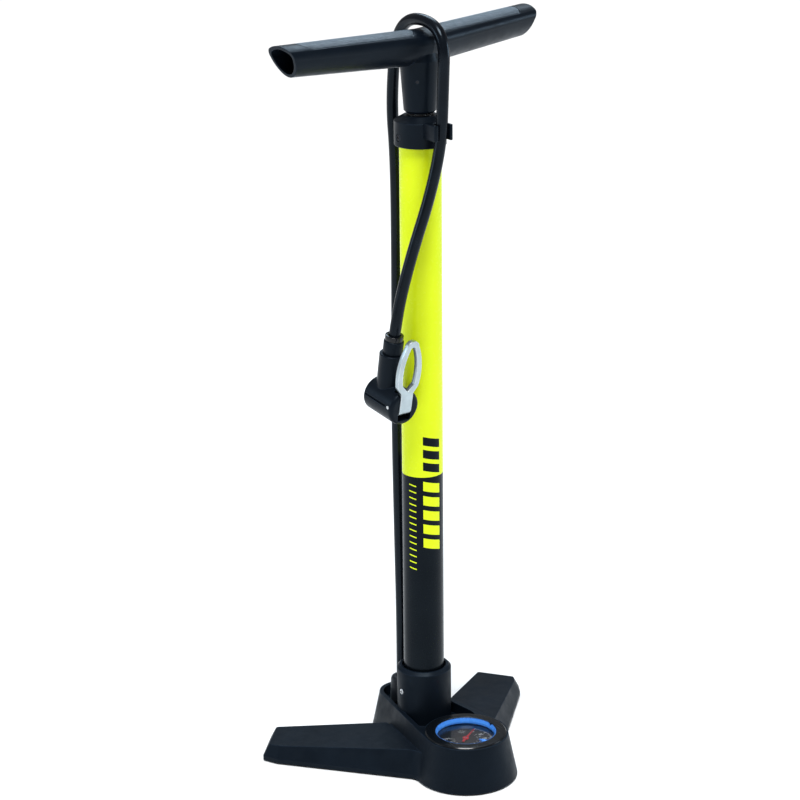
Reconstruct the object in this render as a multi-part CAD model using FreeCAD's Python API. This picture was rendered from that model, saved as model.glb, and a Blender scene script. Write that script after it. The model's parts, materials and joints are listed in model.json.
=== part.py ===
# Floor bicycle pump: a moulded base with two swept feet and a round gauge housing, a painted
# barrel with a chromed piston rod, a hollow cross handle, and a hose that runs up behind the
# barrel, over the handle and down in front to a pump head with a loop lever.
#
# Frame: millimetres, +Z up, origin on the floor on the barrel's axis.  -Y is the front (the
# gauge side), +X and -X are the two feet, +Y is the back (the hose's outlet).
import FreeCAD, Part
import math
import os
from FreeCAD import Vector

os.makedirs("parts", exist_ok=True)

# ---------------------------------------------------------------- driving dimensions
BARREL_R = 17.5
BARREL_WALL = 1.5
BARREL_BOTTOM = 42.5
SOCKET_FLOOR = 41.0         # bottom of the tower's bore
BARREL_TOP = 555.0

SPINE_TOP = 39.0            # height of the base's central body
POCKET_FLOOR = 29.0         # floor of the recess around the tower
CAVITY_TOP = 15.0           # ceiling of the hollow under the base
BASE_WALL = 3.5
BASE_BOTTOM = 1.5           # lower edge of the moulding, which stands on its rubber pads
GAUGE_Y = -66.0             # centre of the gauge housing
GAUGE_TOP_R = 36.3
GAUGE_FLOOR_R = 44.6
OUTLET_Y = 36.0             # centre of the hose outlet behind the barrel
OUTLET_TOP_R = 20.0
OUTLET_FLOOR_R = 28.0

TOWER_R = 23.6
TOWER_TOP = 78.5
TOWER_SCREW_Z = 57.0

FOOT_FRONT_CORNER = (128.0, 37.0)
FOOT_TIP = (135.0, 50.0)
FOOT_BACK_CORNER = (108.0, 82.0)
FOOT_FRONT_ROOT = (44.0, -54.0)
FOOT_BACK_ROOT = (24.0, 24.0)
FOOT_TIP_HEIGHT = 14.5
FOOT_ROOT_HEIGHT = 21.5
FOOT_UPRIGHT = 5.0          # height of the feet's upright lower edge
FOOT_DRAW = 0.5             # how far the walls draw in for each millimetre above that
FOOT_CURVE_R = 12.0         # hollow curve between a foot and the gauge housing
FOOT_CORNER_R = 3.0         # rounding of the corners at a foot's end

CAP_R = 21.6
CAP_BOTTOM = 540.0
CAP_SHOULDER = 560.5
CAP_TOP = 564.8
CAP_SCREW_Z = 547.8
CLIP_AT = (-0.2, -31.7)     # axis of the hose where the clip holds it
CLIP_BORE_R = 5.8
CLIP_REACH = 5.0            # how far the clip's arms stand beyond the hose's axis
CLIP_BOTTOM = 549.0
CLIP_TOP = 562.0

ROD_R = 6.0
PISTON_BOTTOM = 58.0
PISTON_TOP = 76.0
STROKE = 440.0

HANDLE_TURN = 11.0          # degrees that the handle stands turned on its rod
HANDLE_SWEEP = 6.0          # degrees that each arm leans back
HANDLE_RISE = 0.9           # degrees that each arm rises
HANDLE_TOP = 634.5
HANDLE_ARM = 131.5          # from the axis to the middle of a slanted end
HANDLE_MID_SIZE = (35.0, 29.5)
HANDLE_END_SIZE = (30.0, 25.5)
HANDLE_END_SLANT = 22.0
HANDLE_WALL = 2.6
NECK_BOTTOM = 566.8
NECK_TOP_R = 16.6
NECK_BOTTOM_R = 13.4
NECK_PIN_R = 1.5
NECK_PIN_Z = 594.0
NECK_PIN_REACH = 15.2
PAD_DEPTH = 1.6             # thickness of the grip pads

HOSE_R = 4.85
HOSE_ROUTE = [
    (0.0, 36.0, 33.1),
    (0.0, 35.6, 100.0),
    (0.0, 38.2, 190.0),
    (-0.5, 39.8, 300.0),
    (0.0, 38.0, 420.0),
    (-0.5, 37.2, 520.0),
    (-3.5, 39.0, 572.0),
    (-0.3, 31.8, 642.0),
    (3.0, -33.0, 642.0),
    (1.0, -32.5, 584.0),
    (0.0, -31.5, 546.0),
    (-10.0, -29.5, 503.0),
    (-22.3, -24.5, 462.0),
    (-32.0, -19.6, 422.0),
    (-37.9, -19.1, 392.9),
    (-38.4, -16.7, 378.1),
]
REAR_SPLIT = 5              # the rear hose ends halfway along the run after this point
FRONT_SPLIT = 9             # the front hose begins halfway along the run after this point

CHUCK_CENTRE = Vector(-39.7, -8.8, 331.8)
CHUCK_UP = Vector(1.6, -9.5, 56.0)
CHUCK_FORWARD = Vector(0.115, -0.993, 0.0)
CHUCK_R = 15.0
CHUCK_BACK = -15.0          # ends of the pump head along its own axis
CHUCK_FRONT = 23.5
NECK_TUBE_TOP = 41.0
SEAL_FROM = -12.4           # rubber seal along the head's axis
SEAL_TO = -9.8
LEVER_PIN = (18.5, 2.0)     # along and above the pump head's axis
LEVER_PIN_R = 1.5
LEVER_HEIGHT = 60.0
LEVER_WIDTH = 23.5
LEVER_THICK = 4.2
LEVER_LEAN = 1.0            # degrees that the closed lever leans forward
CAM_R = 6.0
CAM_OFFSET = 3.0
VALVE_R = 4.2

VALVE_BORE_R = 7.0          # check valve's bore under the barrel
PLATE_BOTTOM = 2.0          # cover plate under the base
PLATE_TOP = 5.0
PLATE_SCREWS = [(24.0, -18.0), (-24.0, -18.0), (15.0, 24.0), (-15.0, 24.0)]
SCREW_R = 1.6
PAD_R = 9.0
FOOT_PAD_AT = (112.0, 54.0)

CASE_R = 30.6               # gauge case
CASE_BOTTOM = 16.0
DIAL_TOP = 31.0
LENS_BOTTOM = 33.4
LENS_TOP = 35.0
MARKER_R = 26.0             # blue marker ring
INLET_Y = -50.0             # gauge's air inlet
NEEDLE_TURN = 55.0          # clockwise from the back, as the needle stands at rest
MARKER_TURN = 158.0         # clockwise from the back, as the marker's pointer stands
NOTCH_TURN = 89.0           # clockwise from the back, as the marker's finger notch stands

GAP = 0.3                   # clearance between separate bodies
FIT = 0.05                  # clearance of a running fit
PUSH_FIT = 0.02             # clearance of a piece pushed on the rod


# ---------------------------------------------------------------- helpers
def save(shape, name):
    shape.exportStep("parts/" + name + ".step")


def disc(radius, bottom, top, x=0.0, y=0.0):
    return Part.makeCylinder(radius, top - bottom, Vector(x, y, bottom))


def ring(outer, inner, bottom, top, x=0.0, y=0.0):
    return disc(outer, bottom, top, x, y).cut(disc(inner, bottom - 1.0, top + 1.0, x, y))


def turned(profile, x=0.0, y=0.0):
    """A solid of revolution about the vertical through (x, y), from (radius, height) points."""
    points = [Vector(x + radius, y, height) for radius, height in profile]
    face = Part.Face(Part.makePolygon(points + points[:1]))
    return face.revolve(Vector(x, y, 0), Vector(0, 0, 1), 360)


def box(x0, x1, y0, y1, z0, z1):
    return Part.makeBox(x1 - x0, y1 - y0, z1 - z0, Vector(x0, y0, z0))


def mirrored(shape):
    return shape.mirror(Vector(0, 0, 0), Vector(1, 0, 0))


def fused(shapes):
    whole = shapes[0].multiFuse(shapes[1:])
    return whole.removeSplitter()


def one_solid(shape):
    """The shape's largest solid, for results that booleans wrap in a compound."""
    return max(shape.Solids, key=lambda solid: solid.Volume)


def side_screw_holes(surface_r, height):
    """Clearance for a screw that enters from -X: its head's recess and its thread."""
    head = Part.makeCylinder(3.1, 3.2, Vector(-surface_r - 1.4, 0, height), Vector(1, 0, 0))
    thread = Part.makeCylinder(SCREW_R, 7.5, Vector(-surface_r - 1.0, 0, height), Vector(1, 0, 0))
    return head.fuse(thread)


def side_screw(surface_r, height):
    """A round-headed cross-slot screw from -X, its head just below the surface."""
    start = Vector(-surface_r + 0.1, 0, height)
    head = Part.makeCylinder(2.9, 1.6, start, Vector(1, 0, 0))
    rim = [edge for edge in head.Edges if abs(edge.CenterOfMass.x - start.x) < 0.01]
    head = head.makeFillet(0.9, rim)
    shank = Part.makeCylinder(SCREW_R, 6.3, start, Vector(1, 0, 0))
    slot = box(start.x - 1, start.x + 0.9, -1.9, 1.9, height - 0.4, height + 0.4)
    cross = box(start.x - 1, start.x + 0.9, -0.4, 0.4, height - 1.9, height + 1.9)
    return head.fuse(shank).cut(slot).cut(cross)


# ---------------------------------------------------------------- base moulding
def spine_outline(outlet_r, gauge_r, height, gauge_y=GAUGE_Y):
    """Two circles and their outer tangents: the outlet's lobe behind, the gauge in front."""
    run = OUTLET_Y - gauge_y
    slope = (gauge_r - outlet_r) / run
    side = math.sqrt(1.0 - slope * slope)
    front = Vector(gauge_r * side, gauge_y + gauge_r * slope, height)
    rear = Vector(outlet_r * side, OUTLET_Y + outlet_r * slope, height)
    front_left = Vector(-front.x, front.y, height)
    rear_left = Vector(-rear.x, rear.y, height)
    rear_tip = Vector(0, OUTLET_Y + outlet_r, height)
    front_tip = Vector(0, gauge_y - gauge_r, height)
    return Part.Wire([
        Part.LineSegment(front, rear).toShape(),
        Part.Arc(rear, rear_tip, rear_left).toShape(),
        Part.LineSegment(rear_left, front_left).toShape(),
        Part.Arc(front_left, front_tip, front).toShape(),
    ])


def spine(inset, bottom, top):
    """The tapered central body between two heights, its walls moved in by inset."""
    def outline(height):
        share = height / SPINE_TOP
        outlet_r = OUTLET_FLOOR_R + (OUTLET_TOP_R - OUTLET_FLOOR_R) * share - inset
        gauge_r = GAUGE_FLOOR_R + (GAUGE_TOP_R - GAUGE_FLOOR_R) * share - inset
        return spine_outline(outlet_r, gauge_r, height)
    return Part.makeLoft([outline(bottom), outline(top)], True, True)


def crossing(point, direction, other, heading):
    """Where two level lines meet, each given by a point and a direction."""
    gap = other - point
    share = (gap.x * heading.y - gap.y * heading.x) / (direction.x * heading.y - direction.y * heading.x)
    return point + direction * share


def foot_wire(height, inset, boss_inset=0.0):
    """The right foot's outline at a height, drawn in by inset, with a hollow curve into the boss."""
    corners = [Vector(x, y, height) for x, y in
               (FOOT_FRONT_ROOT, FOOT_FRONT_CORNER, FOOT_TIP, FOOT_BACK_CORNER, FOOT_BACK_ROOT)]
    lines = []
    for start, end in zip(corners, corners[1:]):
        heading = end - start
        heading.normalize()
        inward = Vector(-heading.y, heading.x, 0)
        lines.append((start + inward * inset, heading, inward))
    front, tip, back = [crossing(*lines[k][:2], *lines[k + 1][:2]) for k in range(3)]
    back_root = lines[3][0] + lines[3][1] * (corners[4] - corners[3]).Length

    boss = Vector(0, GAUGE_Y, height)
    boss_r = GAUGE_FLOOR_R + (GAUGE_TOP_R - GAUGE_FLOOR_R) * height / SPINE_TOP - boss_inset
    curve_r = FOOT_CURVE_R + inset
    toward_root = lines[0][1] * -1.0
    outside = front - lines[0][2] * curve_r
    along_line = (boss - outside).dot(toward_root)
    off_line = (outside + toward_root * along_line - boss).Length
    centre = outside + toward_root * (along_line - math.sqrt((boss_r + curve_r) ** 2 - off_line ** 2))
    on_foot = centre + lines[0][2] * curve_r
    on_boss = boss + (centre - boss) * (boss_r / (boss_r + curve_r))
    bisector = (on_foot - centre) + (on_boss - centre)
    bisector.normalize()
    inside = Vector(16.0, GAUGE_Y + 10.0, height)
    points = [on_foot, front, tip, back, back_root, inside, on_boss]
    edges = [Part.LineSegment(start, end).toShape() for start, end in zip(points, points[1:])]
    edges.append(Part.Arc(on_boss, centre + bisector * curve_r, on_foot).toShape())
    return Part.Wire(edges)


def foot():
    """One swept foot: upright for a few millimetres, then drawn in to a sloping flat top."""
    upright = Part.makeLoft([foot_wire(BASE_BOTTOM, 0.0), foot_wire(FOOT_UPRIGHT, 0.0)], True, True)
    top = FOOT_ROOT_HEIGHT + 8.0
    drawn_in = foot_wire(top, FOOT_DRAW * (top - FOOT_UPRIGHT))
    blank = upright.fuse(Part.makeLoft([foot_wire(FOOT_UPRIGHT, 0.0), drawn_in], True, True))
    direction = Vector(FOOT_TIP[0] + FOOT_BACK_CORNER[0], FOOT_TIP[1] + FOOT_BACK_CORNER[1], 0)
    direction.normalize()
    reach = Vector(FOOT_TIP[0], FOOT_TIP[1], 0).dot(direction)
    fall = math.degrees(math.atan((FOOT_ROOT_HEIGHT - FOOT_TIP_HEIGHT) / 95.0))
    lid = Part.makeBox(500, 500, 200, Vector(-250, -250, 0))
    lid.rotate(Vector(0, 0, 0), Vector(-direction.y, direction.x, 0), fall)
    lid.translate(direction * reach + Vector(0, 0, FOOT_TIP_HEIGHT))
    blank = blank.cut(lid)
    corners = [edge for edge in blank.Edges if at_foot_corner(edge)]
    return blank.makeFillet(FOOT_CORNER_R, corners)


def at_foot_corner(edge):
    """Whether an edge climbs the foot's end at its front corner, its tip or its back corner."""
    rise = edge.Vertexes[0].Point.z - edge.Vertexes[-1].Point.z
    places = [Vector(x, y, edge.CenterOfMass.z) for x, y in (FOOT_FRONT_CORNER, FOOT_TIP, FOOT_BACK_CORNER)]
    return abs(rise) > 3.0 and min(edge.CenterOfMass.distanceToPoint(place) for place in places) < 6.0


def foot_hollow():
    """The space under a foot, open below and left out of the moulding's top and walls."""
    hollow = Part.Face(foot_wire(BASE_BOTTOM, BASE_WALL, BASE_WALL)).extrude(Vector(0, 0, 8.0))
    return hollow.translated(Vector(0, 0, -1.0 - BASE_BOTTOM))


def base_moulding():
    body = spine(0.0, BASE_BOTTOM, SPINE_TOP)
    right = foot()
    tower = disc(TOWER_R, CAVITY_TOP, TOWER_TOP)
    rim = [edge for edge in tower.Edges if abs(edge.CenterOfMass.z - TOWER_TOP) < 0.1]
    tower = tower.makeChamfer(2.6, rim)
    moulding = fused([body, right, mirrored(right)])
    pocket = Part.Face(spine_outline(OUTLET_TOP_R - 3.4, 27.0, POCKET_FLOOR, -34.0))
    pocket = pocket.extrude(Vector(0, 0, 20)).cut(disc(GAUGE_TOP_R, 20, 60, 0, GAUGE_Y))
    moulding = moulding.cut(pocket)
    moulding = moulding.fuse(tower)
    moulding = moulding.cut(spine(BASE_WALL, 0.2, CAVITY_TOP))
    hollow = foot_hollow().cut(spine(BASE_WALL, 0.2, CAVITY_TOP))
    moulding = moulding.cut(hollow).cut(mirrored(hollow))
    posts = [disc(4.5, PLATE_TOP, CAVITY_TOP + 1, x, y) for x, y in PLATE_SCREWS]
    moulding = moulding.fuse(posts)
    for x, y in PLATE_SCREWS:
        moulding = moulding.cut(disc(SCREW_R, 0, CAVITY_TOP - 1, x, y))
    moulding = moulding.cut(disc(BARREL_R + 0.15, SOCKET_FLOOR, 100))
    moulding = moulding.cut(disc(BARREL_R + 1.7, TOWER_TOP - 5.0, 100))
    moulding = moulding.cut(disc(31.0, CAVITY_TOP - 1, 60, 0, GAUGE_Y))
    moulding = moulding.cut(disc(VALVE_BORE_R, CAVITY_TOP - 1, SOCKET_FLOOR + 1))
    moulding = moulding.cut(disc(6.0, CAVITY_TOP - 1, POCKET_FLOOR + 1, 0, OUTLET_Y))
    return one_solid(moulding.cut(side_screw_holes(TOWER_R, TOWER_SCREW_Z)))


# ---------------------------------------------------------------- barrel and cap
def barrel():
    tube = ring(BARREL_R, BARREL_R - BARREL_WALL, BARREL_BOTTOM, BARREL_TOP)
    tube = tube.cut(side_screw_holes(TOWER_R, TOWER_SCREW_Z))
    return tube.cut(side_screw_holes(CAP_R, CAP_SCREW_Z))


def base_plate():
    """The cover under the base, with countersunk holes for its four screws."""
    plate = spine(BASE_WALL + 0.2, PLATE_BOTTOM, PLATE_TOP)
    for x, y in PLATE_SCREWS:
        plate = plate.cut(disc(3.1, 0, PLATE_BOTTOM + 1.9, x, y)).cut(disc(SCREW_R, 0, 9, x, y))
    return plate


def base_plate_screws():
    screws = []
    for x, y in PLATE_SCREWS:
        head = disc(2.9, PLATE_BOTTOM + 0.2, PLATE_BOTTOM + 1.9, x, y)
        shank = disc(SCREW_R, PLATE_BOTTOM + 1.0, 12.0, x, y)
        slot = box(x - 2.0, x + 2.0, y - 0.4, y + 0.4, 0, PLATE_BOTTOM + 1.0)
        screws.append(head.fuse(shank).cut(slot))
    return Part.makeCompound(screws)


def foot_pad():
    """The rubber block under a foot's end, held in the foot's hollow."""
    pad = disc(PAD_R, 0.0, 7.0, *FOOT_PAD_AT)
    rim = [edge for edge in pad.Edges if edge.CenterOfMass.z < 0.1 and edge.BoundBox.ZLength < 0.1]
    return pad.makeChamfer(0.8, rim)


def front_pad():
    """The rubber arc under the gauge housing."""
    arc = ring(38.5, 30.5, 0.0, PLATE_BOTTOM, 0.0, GAUGE_Y)
    return arc.common(box(-60, 60, GAUGE_Y - 60, GAUGE_Y - 8, -1, 9))


def middle_pad():
    """The long rubber pad under the barrel, where the pumping load comes down."""
    front, rear = -14.0, OUTLET_Y + 4.0
    strip = box(-PAD_R, PAD_R, front, rear, 0.0, PLATE_BOTTOM)
    ends = [disc(PAD_R, 0.0, PLATE_BOTTOM, 0.0, y) for y in (front, rear)]
    return fused([strip] + ends)


# ---------------------------------------------------------------- air path in the base
def barrel_gasket():
    return ring(BARREL_R, 9.0, SOCKET_FLOOR, BARREL_BOTTOM)


def valve_seat():
    """The check valve's seat: a disc with the air hole, flush with the barrel's floor."""
    return ring(VALVE_BORE_R, 2.6, 35.0, SOCKET_FLOOR)


def valve_disc():
    """The disc that lifts off the seat when air leaves the barrel, with a stem for its spring."""
    return disc(5.2, 32.2, 34.95).fuse(disc(1.6, 28.0, 32.5))


def valve_spring():
    """The spring under the valve disc, as a plain coil."""
    helix = Part.makeHelix(2.0, 12.0, 3.0)
    helix.translate(Vector(0, 0, 19.4))
    profile = Part.Wire(Part.makeCircle(0.45, Vector(3.0, 0, 19.4), Vector(0, 1, 0.1)))
    return Part.Wire(helix).makePipeShell([profile], True, True)


def valve_cage():
    """The cup that holds the spring, with an air hole through its floor."""
    cup = ring(VALVE_BORE_R, 5.4, 18.6, 30.0)
    return cup.fuse(ring(VALVE_BORE_R, 1.8, CAVITY_TOP, 18.6))


def air_manifold():
    """The block under the base that leads air from the valve to the gauge and to the hose."""
    block = box(-7, 7, INLET_Y - 7, OUTLET_Y + 7, 5.6, CAVITY_TOP)
    channel = Part.makeCylinder(1.8, OUTLET_Y - INLET_Y, Vector(0, INLET_Y, 10.0), Vector(0, 1, 0))
    block = block.cut(channel)
    for y in (INLET_Y, 0.0, OUTLET_Y):
        block = block.cut(disc(1.8, 10.0, CAVITY_TOP + 1, 0, y))
    return block


def hose_barb():
    """The ribbed spigot that the hose is pushed on to, screwed into the manifold."""
    profile = [(1.6, 15.0), (5.8, 15.0), (5.8, 29.0), (7.6, 29.0), (7.6, 31.0), (4.6, 31.0),
               (4.6, 33.0), (1.6, 33.0)]
    return turned(profile, 0.0, OUTLET_Y)


def strain_relief():
    """The tapered rubber sleeve around the hose where it leaves the base."""
    profile = [(5.1, 31.0), (10.6, 31.0), (10.6, 36.0), (9.9, 50.5), (9.2, 52.6), (7.8, 53.6), (5.1, 53.6)]
    return turned(profile, 0.0, OUTLET_Y)


# ---------------------------------------------------------------- pressure gauge
def gauge_case():
    profile = [(0, CASE_BOTTOM), (CASE_R, CASE_BOTTOM), (CASE_R, LENS_BOTTOM), (28.4, LENS_BOTTOM),
               (28.4, DIAL_TOP - 1.0), (24.0, DIAL_TOP - 1.0), (24.0, 18.0), (0, 18.0)]
    return turned(profile, 0.0, GAUGE_Y).cut(disc(4.0, CASE_BOTTOM - 1, 19, 0, INLET_Y))


def gauge_inlet():
    """The fitting that carries air from the manifold into the curved tube."""
    return ring(4.0, 1.4, CAVITY_TOP, 20.6, 0, INLET_Y)


def bourdon_tube():
    """The curved tube that straightens under pressure and turns the needle."""
    radius = INLET_Y - GAUGE_Y
    curve = Part.makeTorus(radius, 1.9, Vector(0, GAUGE_Y, 22.5), Vector(0, 0, 1), -180, 180, 250)
    curve.rotate(Vector(0, GAUGE_Y, 0), Vector(0, 0, 1), 90)
    return curve


def gauge_movement():
    """The bracket in the middle of the case that carries the needle's arbor."""
    return ring(7.0, 1.2 + FIT, 18.0, 25.0, 0, GAUGE_Y).cut(box(-3, 3, GAUGE_Y - 9, GAUGE_Y - 3, 20, 26))


def needle_arbor():
    return disc(1.2, 19.0, DIAL_TOP + 1.2, 0, GAUGE_Y)


def gauge_dial():
    return ring(28.2, 1.8, DIAL_TOP - 1.0, DIAL_TOP, 0, GAUGE_Y)


def gauge_needle():
    """A thin tapered pointer with a round hub and a short tail."""
    outline = [(-1.0, -6.5), (1.0, -6.5), (1.0, 0.0), (0.35, 19.5), (-0.35, 19.5), (-1.0, 0.0)]
    points = [Vector(x, y, 0) for x, y in outline]
    pointer = Part.Face(Part.makePolygon(points + points[:1])).extrude(Vector(0, 0, 0.7))
    needle = pointer.fuse(disc(2.6, 0, 1.1)).cut(disc(1.2, -1, 3))
    needle.rotate(Vector(0, 0, 0), Vector(0, 0, 1), -NEEDLE_TURN)
    needle.translate(Vector(0, GAUGE_Y, DIAL_TOP + 0.5))
    return needle


def gauge_lens():
    return disc(28.2, LENS_BOTTOM, LENS_TOP, 0, GAUGE_Y)


def gauge_bezel():
    """The black ring that closes the gauge, with a hidden groove for the marker ring."""
    top = SPINE_TOP + 1.2
    profile = [(MARKER_R + GAP, top), (33.9, top), (34.9, SPINE_TOP + 0.3), (34.9, SPINE_TOP),
               (30.8, SPINE_TOP), (30.8, LENS_TOP), (28.0, LENS_TOP), (28.0, LENS_TOP + 1.9),
               (MARKER_R + GAP, LENS_TOP + 1.9)]
    return turned(profile, 0.0, GAUGE_Y)


def marker_ring():
    """The blue ring that turns to mark a wanted pressure, with its pointer over the lens."""
    low = LENS_TOP + 0.2
    profile = [(24.4, low), (27.6, low), (27.6, low + 1.3), (MARKER_R, low + 1.3),
               (MARKER_R, SPINE_TOP + 0.9), (25.5, SPINE_TOP + 0.9), (24.4, low + 1.6)]
    body = turned(profile, 0.0, GAUGE_Y)
    outline = [(-2.0, 25.0), (2.0, 25.0), (1.7, 18.0), (0.0, 13.5), (-1.7, 18.0)]
    points = [Vector(x, y, 0) for x, y in outline]
    pointer = Part.Face(Part.makePolygon(points + points[:1])).extrude(Vector(0, 0, 1.1))
    pointer.translate(Vector(0, 0, low))
    pointer.rotate(Vector(0, 0, 0), Vector(0, 0, 1), -MARKER_TURN)
    pointer.translate(Vector(0, GAUGE_Y, 0))
    return body.fuse(pointer).cut(marker_notch())


def marker_notch():
    """The notch in the ring's rim that a fingertip turns it by."""
    rim = SPINE_TOP + 0.9
    outline = [(-2.4, rim + 0.2), (2.4, rim + 0.2), (0.0, rim - 2.4)]
    points = [Vector(x, 23.0, z) for x, z in outline]
    notch = Part.Face(Part.makePolygon(points + points[:1])).extrude(Vector(0, 4, 0))
    notch.rotate(Vector(0, 0, 0), Vector(0, 0, 1), -NOTCH_TURN)
    return notch.translated(Vector(0, GAUGE_Y, 0))


# ---------------------------------------------------------------- cap, guide and clip
def top_cap():
    """The collar that closes the barrel: a straight side and a conical top."""
    profile = [(BARREL_R + 0.05, CAP_BOTTOM), (CAP_R - 0.5, CAP_BOTTOM), (CAP_R, CAP_BOTTOM + 0.5),
               (CAP_R, CAP_SHOULDER), (14.0, CAP_TOP), (9.0, CAP_TOP), (9.0, BARREL_TOP),
               (BARREL_R + 0.05, BARREL_TOP)]
    return turned(profile).cut(side_screw_holes(CAP_R, CAP_SCREW_Z))


def rod_bushing():
    """The flanged guide that the rod slides in."""
    return ring(9.0, ROD_R + FIT, BARREL_TOP, CAP_TOP).fuse(ring(11.0, ROD_R + FIT, CAP_TOP, CAP_TOP + 0.9))


def top_bumper():
    """The rubber ring that the piston meets at the top of its stroke."""
    return ring(14.0, ROD_R + 0.5, BARREL_TOP - 8.0, BARREL_TOP)


def hose_clip():
    """An open spring clip on the front of the cap, its two arms around the hose."""
    x, y = CLIP_AT
    left, right = x - CLIP_BORE_R - 3.6, x + CLIP_BORE_R + 2.4
    block = box(left, right, y - CLIP_REACH, -CAP_R + 6.0, CLIP_BOTTOM, CLIP_TOP)
    upright = [edge for edge in block.Edges if edge.BoundBox.ZLength > 5 and edge.CenterOfMass.y < y]
    block = block.makeFillet(1.0, upright)
    mouth = box(x - CLIP_BORE_R, x + CLIP_BORE_R, y - 20, y, CLIP_BOTTOM - 1, CLIP_TOP + 1)
    clip = block.cut(mouth).cut(disc(CLIP_BORE_R, 0, 999, x, y))
    return one_solid(clip.cut(disc(CAP_R, 0, 999)))


# ---------------------------------------------------------------- piston and rod
def piston_rod():
    tube = ring(ROD_R, ROD_R - 1.5, PISTON_BOTTOM - 7.0, 603.0)
    return tube.cut(neck_pin_blank(NECK_PIN_REACH))


def piston_head():
    bore = ROD_R + PUSH_FIT
    profile = [(bore, PISTON_BOTTOM), (15.6, PISTON_BOTTOM), (15.6, 64.0), (12.0, 64.0),
               (12.0, 70.0), (15.6, 70.0), (15.6, PISTON_TOP), (bore, PISTON_TOP)]
    return turned(profile)


def piston_seal():
    profile = [(12.0, 64.3), (15.3, 64.3), (BARREL_R - BARREL_WALL - FIT, 66.0),
               (BARREL_R - BARREL_WALL - FIT, 68.4), (15.3, 69.7), (12.0, 69.7)]
    return turned(profile)


def piston_washer():
    return ring(13.0, ROD_R + PUSH_FIT, PISTON_TOP, PISTON_TOP + 1.6)


def piston_nut():
    corners = [Vector(9.0 * math.cos(math.radians(60 * k)), 9.0 * math.sin(math.radians(60 * k)), 0)
               for k in range(6)]
    hexagon = Part.Face(Part.makePolygon(corners + corners[:1])).extrude(Vector(0, 0, 6.0))
    return hexagon.translated(Vector(0, 0, PISTON_BOTTOM - 6.0)).cut(disc(ROD_R + PUSH_FIT, 40, 80))


# ---------------------------------------------------------------- handle
def arm_section(distance, inset):
    """The arm's outline at a distance from the axis: a wide domed top and a narrow foot."""
    share = distance / HANDLE_ARM
    width = HANDLE_MID_SIZE[0] + (HANDLE_END_SIZE[0] - HANDLE_MID_SIZE[0]) * share - 2 * inset
    depth = HANDLE_MID_SIZE[1] + (HANDLE_END_SIZE[1] - HANDLE_MID_SIZE[1]) * share - 2 * inset
    top = HANDLE_TOP + distance * math.tan(math.radians(HANDLE_RISE)) - inset
    back = distance * math.tan(math.radians(HANDLE_SWEEP))
    half = [(0.0, 0.0), (0.24, 0.035), (0.43, 0.14), (0.497, 0.27), (0.485, 0.42), (0.38, 0.72),
            (0.19, 0.94), (0.0, 1.0)]

    def point(across, down, side):
        return Vector(distance, back + side * across * width, top - down * depth)

    right = [point(across, down, 1) for across, down in half]
    left = [point(across, down, -1) for across, down in half]
    edges = [
        Part.Arc(left[2], right[0], right[2]).toShape(),
        Part.Arc(right[2], right[3], right[4]).toShape(),
        Part.Arc(right[4], right[5], right[6]).toShape(),
        Part.Arc(right[6], right[7], left[6]).toShape(),
        Part.Arc(left[6], left[5], left[4]).toShape(),
        Part.Arc(left[4], left[3], left[2]).toShape(),
    ]
    return Part.Wire(edges)


def arm(start, end, inset):
    return Part.makeLoft([arm_section(start, inset), arm_section(end, inset)], True, True)


def end_cutter():
    """The block beyond the slanted end of the right arm."""
    block = Part.makeBox(100, 200, 200, Vector(0, -100, -100))
    block.rotate(Vector(0, 0, 0), Vector(0, 1, 0), HANDLE_END_SLANT)
    return block.translated(Vector(HANDLE_ARM, 0, HANDLE_TOP - HANDLE_END_SIZE[1] / 2))


def pad_region(margin):
    """The plan of a grip pad, as a tall block with rounded ends along the right arm."""
    inner, outer, half = 16.0 - margin, HANDLE_ARM - 11.0 + margin, 12.0 + margin
    corners = [Vector(inner, -half, 600), Vector(outer - 7, -half, 600), Vector(outer, 0, 600),
               Vector(outer - 7, half, 600), Vector(inner, half, 600), Vector(inner - 6, 0, 600)]
    outline = Part.Wire([
        Part.LineSegment(corners[0], corners[1]).toShape(),
        Part.Arc(corners[1], corners[2], corners[3]).toShape(),
        Part.LineSegment(corners[3], corners[4]).toShape(),
        Part.Arc(corners[4], corners[5], corners[0]).toShape(),
    ])
    block = Part.Face(outline).extrude(Vector(0, 0, 60))
    block.rotate(Vector(0, 0, 0), Vector(0, 0, 1), HANDLE_SWEEP)
    return block


def grip_pad(margin):
    """The soft pad let into the top of the right arm."""
    blank = arm(0.0, HANDLE_ARM + 20.0, 0.0)
    return pad_region(margin).common(blank).cut(blank.translated(Vector(0, 0, -PAD_DEPTH)))


def turned_with_handle(shape):
    copy = shape.copy()
    copy.rotate(Vector(0, 0, 0), Vector(0, 0, 1), HANDLE_TURN)
    return copy


def neck_pin_blank(reach):
    """A level cylinder through the neck and the rod, reaching equally far each way."""
    direction = Vector(-0.645, -0.764, 0.0)
    return Part.makeCylinder(NECK_PIN_R, 2 * reach, direction * -reach + Vector(0, 0, NECK_PIN_Z), direction)


def handle_body():
    right = arm(0.0, HANDLE_ARM + 20.0, 0.0).cut(end_cutter())
    hollow = arm(30.0, HANDLE_ARM + 30.0, HANDLE_WALL)
    right = right.cut(hollow).cut(grip_pad(0.5))
    neck = turned([(0, NECK_BOTTOM), (NECK_BOTTOM_R - 2.0, NECK_BOTTOM), (NECK_BOTTOM_R, NECK_BOTTOM + 2.0),
                   (NECK_TOP_R, 610.0), (NECK_TOP_R - 3.0, 622.0), (0, 622.0)])
    whole = right.fuse(mirrored(right)).fuse(neck)
    whole = turned_with_handle(whole)
    whole = whole.cut(disc(ROD_R + PUSH_FIT, NECK_BOTTOM - 1, 603.0))
    return one_solid(whole.cut(neck_pin_blank(NECK_TOP_R + 2.0)))


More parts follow.
